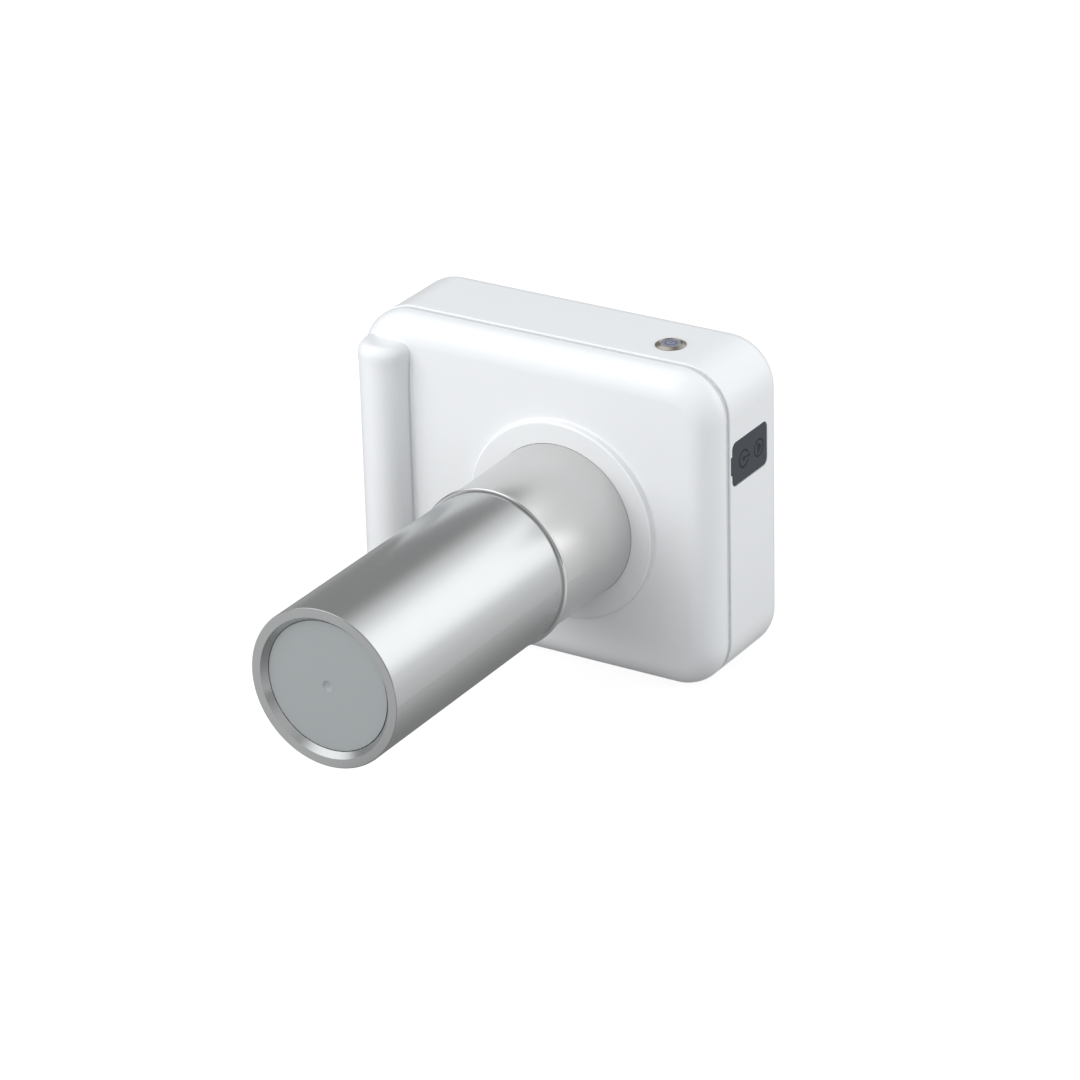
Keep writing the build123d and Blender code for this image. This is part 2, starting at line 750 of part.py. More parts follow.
def make_main_board():
    board = Pos(cone_x, cone_z) * RectangleRounded(board_width, board_height, head_wall)
    plate = along_y(board, BOARD_FRONT, BOARD_REAR)
    for x, z in LID_SPOTS:
        plate -= rod_y(x, z, screw_radius, BOARD_FRONT, BOARD_REAR)
    return plate


def make_board_screws():
    return group(screw_along_y(x, z, BOARD_REAR, board_thickness, -1) for x, z in LID_SPOTS)


def make_board_parts():
    """Main components on the board: three chips and a row of capacitors."""
    parts = []
    for dx, dz, side in chips:
        chip = Pos(cone_x + dx, cone_z + dz) * Rectangle(side, side)
        parts.append(along_y(chip, BOARD_REAR, BOARD_REAR + chip_height))
    for index in range(capacitor_count):
        x = cone_x + capacitor_row_x + index * capacitor_pitch
        z = cone_z + capacitor_row_z
        parts.append(rod_y(x, z, capacitor_radius, BOARD_REAR, BOARD_REAR + capacitor_height))
    return group(parts)


def make_buzzer():
    x = cone_x + board_width / 2 - buzzer_from_edge
    z = cone_z - buzzer_drop
    top = BOARD_REAR + buzzer_height
    body = rod_y(x, z, buzzer_radius, BOARD_REAR, top)
    return body - rod_y(x, z, buzzer_hole_radius, top - buzzer_hole_radius, top)


LENS_FRONT = REAR - lens_sunk - lens_thickness


def make_display_lens():
    lens = Pos(lens_x, LENS_Z) * RectangleRounded(lens_width, lens_height, lens_corner)
    return along_y(lens, LENS_FRONT, REAR - lens_sunk)


def make_display_module():
    module = Pos(lens_x, LENS_Z) * Rectangle(lens_width, lens_height)
    body = along_y(module, INNER_REAR - module_thickness, INNER_REAR)
    inset = lens_ledge + module_glass_inset
    glass = Pos(lens_x, LENS_Z) * RectangleRounded(
        lens_width - 2 * inset, lens_height - 2 * inset, lens_corner / 2)
    return body + along_y(glass, INNER_REAR, LENS_FRONT - seat_gap)


def make_key(x):
    """Rubber key: a domed cap through the rear wall with a flange behind it."""
    cap = rod_y(x, key_z, key_radius, KEY_BACK_Y, REAR + key_stand)
    cap = fillet(cap.faces().sort_by(Axis.Y)[-1].edges(), key_edge_fillet)
    return cap + rod_y(x, key_z, key_radius + key_flange, KEY_BACK_Y, KEY_FACE_Y)


def make_key_board():
    margin = key_radius + key_flange + key_board_margin
    plate = Pos(lens_x, key_z) * RectangleRounded(4 * key_pitch + 2 * margin, 2 * margin, head_wall)
    board = along_y(plate, KEY_BOARD_REAR - key_board_thickness, KEY_BOARD_REAR)
    for x in KEY_BOARD_SCREWS:
        board -= rod_y(x, key_z, screw_radius, -FAR, FAR)
    return board


def make_key_domes():
    return group(rod_y(x, key_z, dome_radius, KEY_BOARD_REAR, DOME_TOP_Y) for x in KEY_SPOTS)


def make_key_board_screws():
    seat = KEY_BOARD_REAR - key_board_thickness
    grip = screw_head_height + key_board_thickness
    return group(screw_along_y(x, key_z, seat, grip, 1) for x in KEY_BOARD_SCREWS)


EXPOSURE_REST = INNER_REAR - exposure_depth
EXPOSURE_FLOOR = EXPOSURE_REST - exposure_travel - exposure_slack


def make_exposure_bezel():
    """Ring round the exposure button, seated in the rear wall and flanged inside."""
    outer = exposure_radius + exposure_bezel_width
    back = EXPOSURE_FLOOR - exposure_floor_thickness
    ring = rod_y(EXPOSURE_X, EXPOSURE_Z, outer, back, REAR + exposure_bezel_stand)
    ring = fillet(ring.faces().sort_by(Axis.Y)[-1].edges(), exposure_bezel_fillet)
    ring += rod_y(EXPOSURE_X, EXPOSURE_Z, outer + exposure_flange_width,
                  INNER_REAR - exposure_flange_thickness, INNER_REAR)
    return ring - rod_y(EXPOSURE_X, EXPOSURE_Z, exposure_radius + key_gap, EXPOSURE_FLOOR, FAR)


def make_exposure_button():
    """Thumb button with a shallow dish in its face."""
    cap = rod_y(EXPOSURE_X, EXPOSURE_Z, exposure_radius, EXPOSURE_REST, REAR + exposure_stand)
    cap = fillet(cap.faces().sort_by(Axis.Y)[-1].edges(), exposure_edge_fillet)
    dish_y = REAR + exposure_stand + exposure_dish_radius - exposure_dish_depth
    return cap - Pos(EXPOSURE_X, dish_y, EXPOSURE_Z) * Sphere(exposure_dish_radius)


# Power button
POWER_TOP = case_height + power_bezel_height


def upright(x, y, radius, z_low, z_high):
    return along_z(Pos(x, y) * Circle(radius), z_low, z_high)


def make_power_bezel():
    """Steel bezel and barrel of the power button."""
    bezel = upright(POWER_X, power_y, power_bezel_radius, case_height, POWER_TOP)
    bezel = chamfer(bezel.faces().sort_by(Axis.Z)[-1].edges(), power_bezel_chamfer)
    bezel += upright(POWER_X, power_y, power_barrel_radius, case_height - power_barrel_length, case_height)
    return bezel - upright(POWER_X, power_y, power_cap_radius + power_cap_clearance,
                           case_height - power_barrel_length, FAR)


def make_power_button():
    cap_top = POWER_TOP - seat_gap
    return upright(POWER_X, power_y, power_cap_radius, cap_top - power_barrel_length / 2, cap_top)


def make_power_switch():
    """Contact block inside the barrel, just under the button's travel."""
    top = POWER_TOP - seat_gap - power_barrel_length / 2 - power_travel - print_gap
    barrel_end = case_height - power_barrel_length
    body = upright(POWER_X, power_y, power_cap_radius, barrel_end, top)
    foot = upright(POWER_X, power_y, power_barrel_radius, barrel_end - power_switch_height, barrel_end)
    return body + foot


def make_power_nut():
    hexagon = Pos(POWER_X, power_y) * RegularPolygon(power_nut_radius, 6)
    top = case_height - wall
    nut = along_z(hexagon, top - power_nut_thickness, top)
    return nut - upright(POWER_X, power_y, power_barrel_radius, -FAR, FAR)


# Port cover and sockets
def make_port_cover():
    """Flap and its pull tab, with softened outer edges."""
    cover = along_x(cover_profile(0), PORT_FLOOR_X, SIDE)
    return fillet(cover.faces().sort_by(Axis.X)[-1].edges(), cover_edge_fillet)


def make_jack(name, bore):
    """Socket body behind the port floor, with its bore open to the outside."""
    y = JACK_SPOTS[name]
    face = Pos(y, COVER_Z) * Rectangle(jack_body, jack_body)
    body = along_x(face, JACK_FACE_X - jack_length, JACK_FACE_X)
    nose = Pos(y, COVER_Z) * Circle(bore + print_gap)
    body += along_x(nose, JACK_FACE_X, PORT_FLOOR_X - print_gap)
    return body - along_x(Pos(y, COVER_Z) * Circle(bore), PORT_FLOOR_X - jack_bore_length, FAR)


def make_port_board():
    """Small board that carries both sockets from behind."""
    rim = jack_body + 2 * port_board_margin
    plate = Pos(cover_y, COVER_Z) * Rectangle(port_pitch + rim, rim)
    x = JACK_FACE_X - jack_length
    return along_x(plate, x - board_thickness, x)


# Battery
FIRST_CELL_Y = HOLDER_FRONT + holder_wall + cell_gap + cell_radius
CELL_Y = (FIRST_CELL_Y, FIRST_CELL_Y + 2 * cell_radius + cell_gap)
HOLDER_REAR = CELL_Y[1]
HOLDER_HALF = CELL_LENGTH + 2 * contact_thickness + holder_wall
BATTERY_Z = case_height / 2


def make_battery_cells():
    return group(
        upright(HOLDER_X, y, cell_radius, low, low + CELL_LENGTH)
        for y in CELL_Y
        for low in (BATTERY_Z - CELL_LENGTH, BATTERY_Z))


def make_battery_holder():
    """Open tray round the cells, with an end wall at the top and the bottom."""
    outline = Pos(HOLDER_X, BATTERY_Z) * RectangleRounded(2 * HOLDER_SIDE, 2 * HOLDER_HALF, holder_corner)
    room = Pos(HOLDER_X, BATTERY_Z) * RectangleRounded(
        2 * (HOLDER_SIDE - holder_wall), 2 * (HOLDER_HALF - holder_wall), holder_inner_corner)
    tray = along_y(outline, HOLDER_FRONT, HOLDER_REAR)
    return tray - along_y(room, HOLDER_FRONT + holder_wall, HOLDER_REAR)


def make_battery_contacts():
    """Spring plates between the cells and the tray's two end walls."""
    plates = []
    for side in (-1, 1):
        z = BATTERY_Z + side * (CELL_LENGTH + contact_thickness)
        plates.append(block(HOLDER_X - cell_radius / 2, HOLDER_X + cell_radius / 2, CELL_Y[0], CELL_Y[1],
                            z - contact_thickness, z + contact_thickness))
    return group(plates)


def make_tripod_insert():
    return along_z(Circle(insert_radius) - Circle(insert_bore), 0, insert_length)


NODES = {
    "front_shell": make_front_shell,
    "grip_panel": make_grip_panel,
    "seam_gasket": make_seam_gasket,
    "rear_shell": make_rear_shell,
    "cone_base": make_cone_base,
    "cone_ring": make_cone_ring,
    "cone_tube": make_cone_tube,
    "cone_window": make_cone_window,
    "window_retainer": make_window_retainer,
    "cone_liner": make_cone_liner,
    "collimator_plate": make_collimator_plate,
    "beam_filter": make_beam_filter,
    "tubehead_housing": make_tubehead_housing,
    "lead_lining": make_lead_lining,
    "lid_shield": make_lid_shield,
    "tubehead_lid": make_tubehead_lid,
    "tubehead_screws": make_tubehead_screws,
    "tube_envelope": make_tube_envelope,
    "anode": make_anode,
    "cathode": make_cathode,
    "tube_saddles": make_tube_saddles,
    "transformer_core": make_transformer_core,
    "transformer_windings": make_transformer_windings,
    "multiplier_board": make_multiplier,
    "board_standoffs": make_board_standoffs,
    "main_board": make_main_board,
    "board_screws": make_board_screws,
    "board_parts": make_board_parts,
    "buzzer": make_buzzer,
    "display_lens": make_display_lens,
    "display_module": make_display_module,
    "key_board": make_key_board,
    "key_domes": make_key_domes,
    "key_board_screws": make_key_board_screws,
    "mode_key": lambda: make_key(KEY_SPOTS[0]),
    "patient_key": lambda: make_key(KEY_SPOTS[1]),
    "minus_key": lambda: make_key(KEY_SPOTS[2]),
    "plus_key": lambda: make_key(KEY_SPOTS[3]),
    "exposure_bezel": make_exposure_bezel,
    "exposure_button": make_exposure_button,
    "power_bezel": make_power_bezel,
    "power_button": make_power_button,
    "power_switch": make_power_switch,
    "power_nut": make_power_nut,
    "port_cover": make_port_cover,
    "charge_jack": lambda: make_jack("charge", charge_bore),
    "remote_jack": lambda: make_jack("remote", remote_bore),
    "port_board": make_port_board,
    "battery_cells": make_battery_cells,
    "battery_holder": make_battery_holder,
    "battery_contacts": make_battery_contacts,
    "tripod_insert": make_tripod_insert,
    "case_screws": make_case_screws,
}

os.makedirs("parts", exist_ok=True)
for node, make in NODES.items():
    export_step(make(), f"parts/{node}.step")
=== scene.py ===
"""Looks of the hand-held dental x-ray unit: finishes, studio, camera and the fine surface work.

Metres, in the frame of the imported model: the origin is the tripod socket's mouth under the case,
the cone points along -Y, the screen side faces +Y and the port cover is at +X.
"""
import json

import bmesh
import bpy
import numpy as np
from mathutils import Matrix, Vector

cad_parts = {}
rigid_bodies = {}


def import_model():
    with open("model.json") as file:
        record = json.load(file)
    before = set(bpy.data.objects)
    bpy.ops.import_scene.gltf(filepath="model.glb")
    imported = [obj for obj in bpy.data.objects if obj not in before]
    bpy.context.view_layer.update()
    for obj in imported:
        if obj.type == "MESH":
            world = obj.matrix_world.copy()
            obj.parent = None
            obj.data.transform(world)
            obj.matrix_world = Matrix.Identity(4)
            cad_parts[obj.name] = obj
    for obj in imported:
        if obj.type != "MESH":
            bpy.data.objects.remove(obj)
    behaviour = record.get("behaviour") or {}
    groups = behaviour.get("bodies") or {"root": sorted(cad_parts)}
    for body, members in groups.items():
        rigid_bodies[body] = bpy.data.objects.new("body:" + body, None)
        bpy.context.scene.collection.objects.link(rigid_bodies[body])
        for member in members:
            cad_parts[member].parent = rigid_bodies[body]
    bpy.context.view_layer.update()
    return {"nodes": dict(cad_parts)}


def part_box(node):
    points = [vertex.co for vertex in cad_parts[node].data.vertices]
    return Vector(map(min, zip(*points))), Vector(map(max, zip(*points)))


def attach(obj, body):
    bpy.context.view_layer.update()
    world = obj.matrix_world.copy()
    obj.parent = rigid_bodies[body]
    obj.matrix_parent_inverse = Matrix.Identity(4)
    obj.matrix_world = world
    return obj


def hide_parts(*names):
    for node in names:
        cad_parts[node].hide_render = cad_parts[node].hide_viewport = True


for start_object in list(bpy.data.objects):
    bpy.data.objects.remove(start_object)
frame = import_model()
CAD = frame["nodes"]

MM = 0.001

# Camera, as it stood for the photograph: place, turn, roll and lens
CAMERA_PLACE = Vector((1.009, -1.6262, 0.9426))
CAMERA_AZIMUTH = 32.37
CAMERA_ELEVATION = 24.33
CAMERA_ROLL = -1.62
CAMERA_REACH = 20.0
FRAME_PIXELS = 1080.0
FOCAL_PIXELS = 4700.0
AXIS_PIXEL = (526.8, 475.5)
SENSOR = 36.0

# Places on the case, in millimetres unless they carry MM
CONE_X = 15.6 * MM
CONE_Z = 71.4 * MM
FRONT = -30.5
GRIP_X = -74.5
GRIP_FOOT = 12.7
GRIP_MIDDLE = 75.3
GRIP_HALF = 60.5
FLANK_DRAFT = 0.08
COVER_Z = 105.6
COVER_SIGNS = (-2.3, 10.8)
COVER_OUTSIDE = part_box("port_cover")[1].x
KEY_Z = 40.0
KEY_FACE = (30.5, 30.9)
KEYS = {
    "mode_key": (-18.5, "list"),
    "patient_key": (0.5, "person"),
    "minus_key": (19.5, "minus"),
    "plus_key": (38.5, "plus"),
}
SCREEN_MIDDLE = (10.0, 92.0)
SCREEN_HALF = (33.0, 24.0)
SCREEN_LINE = 0.2
POWER_SPOT = (53.7, 0.8)

# Fine forms that the scene adds, in millimetres
TURN_STEPS = 120
SHARP_ANGLE = 34
WINDOW_RADIUS = 29.2
WINDOW_EDGE = 0.15
WINDOW_STEP = 1.2
WINDOW_BACK = 3.2
FLANGE_RADIUS = 32.9
BOWL_RADIUS = 2.4
BOWL_DEPTH = 0.75
POINT_RADIUS = 0.32
POINT_HEIGHT = 0.3
BEZEL_RADIUS = 7.0
BEZEL_HEIGHT = 1.1
BEZEL_EDGE = 0.15
BARREL_RADIUS = 5.9
BARREL_LENGTH = 15.0
BEZEL_BORE = 4.8
LIP_PLACE = 5.15
LIP_RADIUS = 0.14
CAP_RADIUS = 4.7
CAP_EDGE = 0.25
CAP_CROWN = 0.16
INSERT_RADIUS = 5.0
INSERT_LENGTH = 10.0
THREAD_STEPS = 64
THREAD_PITCH = 1.27
THREAD_ROOT = 3.15
THREAD_CREST = 2.55
THREAD_RUN_IN = 0.9
SOCKET_FLOOR = 79.5
SOCKET_BORES = {"charge_jack": 3.0, "remote_jack": 1.85}
PIN_RADIUS = 0.65
PIN_END = 87.6
SLEEVE_END = 88.6
GRIP_BLEND = 1.6
BLEND_SUNK = 0.35

# Studio, in metres; a level is a share of full white
FLOOR_HALF = 3.0
FLOOR_BOUNCE = 0.4
FLOOR_WHITE = 0.92
FLOOR_SHADOW = 0.14
WRAP_HORIZON = 0.6
WRAP_ZENITH = 0.75
TENT_RADIUS = 2.6
TENT_LIFT = 0.0005
TENT_ROWS = 40
TENT_CENTRE = (0.0, -0.1, 0.07)
TENT_GREY = 0.33
# the sheet's lowest level: painted shade below the cone, seen only in reflections
SHEET_DARK = 0.24
# painted highlight patches on the tent's dome, seen only in reflections
TENT_BOXES = [
    # direction, inner and outer angle, level
    ((0.48, 0.77, 0.43), 12, 45, 0.84),
    ((0.51, 0.77, 0.39), 4, 28, 0.45),
    ((0.62, -0.43, 0.66), 5, 35, 0.28),
    ((-0.50, -0.15, 0.85), 10, 45, 1.15),
]
LAMP_TARGET = (0, 0, 0.07)
LAMPS = {
    # place, side, watts
    "key_lamp": ((-1.0, -1.4, 1.05), 1.5, 22.5),
    "side_lamp": ((1.5, 0.9, 0.65), 0.9, 12.5),
    "fill_lamp": ((0.35, -1.9, 0.8), 1.2, 5.5),
}

# Shader values
GLOW_PEAK = 2.5
PRINT_EDGE = 0.06
DUST_SCALE = 340.0
RUBBER_GRAIN = 2600.0


def rgb(red, green, blue):
    return (red, green, blue, 1.0)


def scaled(colour, factor):
    return rgb(*[channel * factor for channel in colour])


class Wire:
    """One shader socket; arithmetic on it adds Math nodes to its tree."""

    def __init__(self, finish, socket):
        self.finish = finish
        self.socket = socket

    def __add__(self, other):
        return self.finish.math("ADD", self, other)

    def __radd__(self, other):
        return self.finish.math("ADD", other, self)

    def __sub__(self, other):
        return self.finish.math("SUBTRACT", self, other)

    def __rsub__(self, other):
        return self.finish.math("SUBTRACT", other, self)

    def __mul__(self, other):
        return self.finish.math("MULTIPLY", self, other)

    def __rmul__(self, other):
        return self.finish.math("MULTIPLY", other, self)

    def __pow__(self, other):
        return self.finish.math("POWER", self, other)

    def within(self, low, high):
        """0 below low and 1 above high, with a soft step between."""
        return self.finish.add("ShaderNodeMapRange", {"interpolation_type": "SMOOTHSTEP"},
                               {"Value": self, "From Min": low, "From Max": high})


class Finish:
    """One material or world: a node tree with a single shader at its end."""

    def __init__(self, name, owner=None):
        self.owner = owner or bpy.data.materials.new(name)
        self.owner.use_nodes = True
        self.tree = self.owner.node_tree
        self.tree.nodes.clear()

    def add(self, kind, settings=None, values=None, output=0):
        """Adds a node: its settings first, then a value or link for each socket by name or number."""
        node = self.tree.nodes.new(kind)
        for name, value in (settings or {}).items():
            setattr(node, name, value)
        for name, value in (values or {}).items():
            if isinstance(value, Wire):
                self.tree.links.new(value.socket, node.inputs[name])
            else:
                node.inputs[name].default_value = value
        return Wire(self, node.outputs[output])

    def math(self, operation, *values):
        return self.add("ShaderNodeMath", {"operation": operation}, dict(enumerate(values)))

    def vector_math(self, operation, *values, output=0):
        return self.add("ShaderNodeVectorMath", {"operation": operation}, dict(enumerate(values)), output)

    def mix(self, factor, first, second):
        """Blends two colours."""
        return self.add("ShaderNodeMix", {"data_type": "RGBA"}, {0: factor, 6: first, 7: second}, 2)

    def glow(self, level, tint):
        """Light colour of a varying strength up to GLOW_PEAK."""
        return self.mix(level * (1 / GLOW_PEAK), rgb(0, 0, 0), scaled(tint, GLOW_PEAK))

    def place(self):
        """The piece's own coordinates, which are the frame's."""
        return self.add("ShaderNodeTexCoord", output="Object")

    def coordinates(self):
        """X, Y and Z of the piece's own place."""
        at = self.place()
        return [self.add("ShaderNodeSeparateXYZ", values={0: at}, output=axis) for axis in "XYZ"]

    def noise(self, scale, detail=2.0, stretch=(1, 1, 1)):
        """Soft noise from 0 to 1 with so many features in a metre."""
        at = self.add("ShaderNodeMapping", values={"Vector": self.place(), "Scale": stretch})
        return self.add("ShaderNodeTexNoise", values={"Vector": at, "Scale": scale, "Detail": detail})

    def dusted(self, colour, pale):
        """A colour under a little dust."""
        return self.mix(self.noise(DUST_SCALE, 5.0).within(0.5, 0.9), rgb(*colour), rgb(*pale))

    def matte(self, rough):
        """The uneven roughness of rubber."""
        return rough + self.noise(DUST_SCALE, 5.0) * 0.06

    def bump(self, height, depth):
        return self.add("ShaderNodeBump", values={"Height": height, "Distance": depth, "Strength": 1.0})

    def away(self, u, v, spot):
        """Distance from a spot in the plane of u and v."""
        return self.math("SQRT", (u - spot[0] * MM) ** 2.0 + (v - spot[1] * MM) ** 2.0)

    def ring(self, u, v, spot, radius, width):
        """1 on a printed ring and 0 off it."""
        off = self.math("ABSOLUTE", self.away(u, v, spot) - radius * MM)
        return 1 - off.within((width / 2 - PRINT_EDGE) * MM, (width / 2 + PRINT_EDGE) * MM)

    def dot(self, u, v, spot, radius):
        """1 on a printed dot and 0 off it."""
        return 1 - self.away(u, v, spot).within((radius - PRINT_EDGE) * MM, (radius + PRINT_EDGE) * MM)

    def bar(self, u, v, spot, half_u, half_v):
        """1 on a printed bar and 0 off it."""
        off_u = self.math("ABSOLUTE", u - spot[0] * MM) - half_u * MM
        off_v = self.math("ABSOLUTE", v - spot[1] * MM) - half_v * MM
        return 1 - self.math("MAXIMUM", off_u, off_v).within(-PRINT_EDGE * MM, PRINT_EDGE * MM)

    def any_of(self, *marks):
        """Joins masks: 1 where one of them is."""
        joined = marks[0]
        for mark in marks[1:]:
            joined = self.math("MAXIMUM", joined, mark)
        return joined

    def end(self, shader):
        """Links the last shader to the output, and gives back the material or the world."""
        kind = "World" if isinstance(self.owner, bpy.types.World) else "Material"
        output = self.tree.nodes.new("ShaderNodeOutput" + kind)
        self.tree.links.new(shader.socket, output.inputs["Surface"])
        return self.owner

    def surface(self, **sockets):
        """Ends the tree in a Principled shader; underscores in a socket's name stand for spaces."""
        values = {name.replace("_", " "): value for name, value in sockets.items()}
        return self.end(self.add("ShaderNodeBsdfPrincipled", values=values))


# Finishes
def moulded(name, colour, rough, grain=0.0, coat=0.0, shade=0.02):
    """Moulded plastic: faint cloudy colour and a moulding grain."""
    f = Finish(name)
    return f.surface(
        Base_Color=f.mix(f.noise(22.0, 3.0), rgb(*colour), scaled(colour, 1 - shade)),
        Roughness=rough,
        Normal=f.bump(f.noise(2400.0, 1.0) * grain, 0.000004),
        Coat_Weight=coat,
        Coat_Roughness=0.05)


def satin_metal(name, colour, rough, flake=0.05):
    """Satin silver: fine flake in the colour and gloss, and a very fine turned grain round the cone."""
    f = Finish(name)
    speck = f.noise(5200.0, 1.0)
    turned_grain = f.noise(1.0, 2.0, (40.0, 4200.0, 40.0))
    return f.surface(
        Base_Color=f.mix(speck, rgb(*colour), scaled(colour, 1 - flake)),
        Metallic=1.0,
        Roughness=rough + f.noise(30.0, 3.0) * 0.04 + speck * 0.03,
        Normal=f.bump(turned_grain + speck, 0.0000012))


def machined(name, colour, rough, spread=0.08):
    """Plain machined or plated metal with faint wear."""
    f = Finish(name)
    return f.surface(
        Base_Color=f.mix(f.noise(60.0, 2.0), rgb(*colour), scaled(colour, 1 - spread)),
        Metallic=1.0,
        Roughness=rough + f.noise(260.0, 5.0) * 0.1,
        Normal=f.bump(f.noise(1500.0, 2.0), 0.000003))


def rubber(name, colour, rough):
    """Silicone rubber: fine matte grain with a little dust."""
    f = Finish(name)
    return f.surface(
        Base_Color=f.dusted(colour, [min(1.0, channel * 1.25 + 0.01) for channel in colour]),
        Roughness=f.matte(rough),
        Normal=f.bump(f.noise(RUBBER_GRAIN, 3.0), 0.00001))


def dull(name, colour, spots, rough=0.7, metal=0.0):
    """Plain inner part: mottled colour over a rough skin."""
    f = Finish(name)
    return f.surface(
        Base_Color=f.mix(f.noise(spots, 5.0).within(0.3, 0.7), rgb(*colour), scaled(colour, 0.75)),
        Metallic=metal,
        Roughness=rough - f.noise(spots, 5.0) * 0.12,
        Normal=f.bump(f.noise(spots * 8, 3.0), 0.00002))


def port_cover_rubber():
    """Dark rubber with two sunk round signs: an open ring with a lead, and a ring with a plug."""
    f = Finish("cover_rubber")
    x, y, z = f.coordinates()
    lead, plug = [(along, COVER_Z) for along in COVER_SIGNS]
    gap = f.bar(y, z, (lead[0] + 3.6, COVER_Z), 2.2, 1.5)
    open_ring = f.ring(y, z, lead, 3.9, 1.0) * (1 - gap)
    stem = f.any_of(
        f.dot(y, z, lead, 1.15),
        f.bar(y, z, (lead[0] + 1.8, COVER_Z), 1.8, 0.32),
        f.dot(y, z, (lead[0] + 4.4, COVER_Z), 0.8))
    bowl = f.dot(y, z, (plug[0] + 0.1, COVER_Z), 1.9) * f.bar(y, z, (plug[0] + 1.3, COVER_Z), 1.2, 2.0)
    socket = f.any_of(
        f.ring(y, z, plug, 3.9, 0.9),
        f.bar(y, z, (plug[0] - 0.7, COVER_Z), 0.5, 2.5),
        bowl)
    outside = x.within(COVER_OUTSIDE - 0.5 * MM, COVER_OUTSIDE - 0.4 * MM)
    sign = f.any_of(open_ring, stem, socket) * outside
    clean = f.dusted((0.037, 0.045, 0.057), (0.046, 0.054, 0.067))
    return f.surface(
        Base_Color=f.mix(sign, clean, rgb(0.003, 0.003, 0.004)),
        Roughness=f.matte(0.52),
        Specular_IOR_Level=0.35,
        Normal=f.bump(f.noise(RUBBER_GRAIN, 3.0) * 0.03 - sign, 0.0003))


def key_rubber(x_place, sign):
    """Grey key with its sign printed in white: two bars, one bar, a person or a list."""
    f = Finish("key_" + sign)
    x, y, z = f.coordinates()
    middle = (x_place, KEY_Z)
    if sign == "plus":
        mark = f.any_of(f.bar(x, z, middle, 2.0, 0.36), f.bar(x, z, middle, 0.36, 2.0))
    elif sign == "minus":
        mark = f.bar(x, z, middle, 2.0, 0.36)
    elif sign == "person":
        head = f.dot(x, z, (x_place, KEY_Z + 1.2), 0.95)
        shoulders = f.dot(x, z, (x_place, KEY_Z - 2.1), 2.0) * f.bar(x, z, (x_place, KEY_Z - 1.0), 2.2, 0.95)
        mark = f.any_of(head, shoulders)
    else:
        mark = f.any_of(*[f.bar(x, z, (x_place, KEY_Z + rise), 1.9, 0.3) for rise in (-1.3, 0.0, 1.3)])
    mark = mark * y.within(KEY_FACE[0] * MM, KEY_FACE[1] * MM)
    return f.surface(
        Base_Color=f.mix(mark, f.dusted((0.20, 0.22, 0.25), (0.24, 0.26, 0.29)), rgb(0.80, 0.82, 0.84)),
        Roughness=f.matte(0.55),
        Normal=f.bump(f.noise(RUBBER_GRAIN, 3.0), 0.00001))


def screen_glass():
    """Glossy window: black print round the edge, and the switched-off screen behind its clear middle."""
    f = Finish("lens_glass")
    x, y, z = f.coordinates()
    clear = f.bar(x, z, SCREEN_MIDDLE, SCREEN_HALF[0] + SCREEN_LINE, SCREEN_HALF[1] + SCREEN_LINE)
    hairline = clear - f.bar(x, z, SCREEN_MIDDLE, *SCREEN_HALF)
    tint = f.mix(clear, rgb(0.004, 0.004, 0.005), rgb(0.014, 0.017, 0.022))
    return f.surface(
        Base_Color=f.mix(hairline, tint, rgb(0.05, 0.055, 0.06)),
        Roughness=0.04 + f.noise(40.0, 4.0) * 0.03,
        Coat_Weight=1.0,
        Coat_Roughness=0.03)


def power_cap_metal():
    """Satin cap with fine turned lines and a blue power sign: a broken ring with a short bar."""
    f = Finish("power_cap")
    x, y, z = f.coordinates()
    turned_lines = f.math("SINE", f.away(x, y, POWER_SPOT) * (2 * np.pi / (0.12 * MM)))
    gap = f.bar(x, y, (POWER_SPOT[0], POWER_SPOT[1] + 2.4), 0.75, 1.2)
    ring = f.ring(x, y, POWER_SPOT, 2.5, 0.55) * (1 - gap)
    sign = f.any_of(ring, f.bar(x, y, (POWER_SPOT[0], POWER_SPOT[1] + 1.5), 0.26, 1.5))
    return f.surface(
        Base_Color=f.mix(sign, rgb(0.62, 0.64, 0.67), rgb(0.05, 0.07, 0.42)),
        Metallic=1 - sign * 0.8,
        Roughness=0.30 + f.noise(900.0, 3.0) * 0.08,
        Normal=f.bump(turned_lines * 0.5 + f.noise(3000.0, 2.0), 0.000002))


WHITE_GRIP = moulded("white_grip", (0.86, 0.87, 0.88), 0.30, 0.3, 0.25)
DISC = moulded("disc_grey", (0.335, 0.356, 0.36), 0.42, 0.6)
STEEL = machined("button_steel", (0.40, 0.365, 0.325), 0.16)
POWER_CAP = power_cap_metal()
BRASS = machined("brass", (0.78, 0.62, 0.34), 0.22)

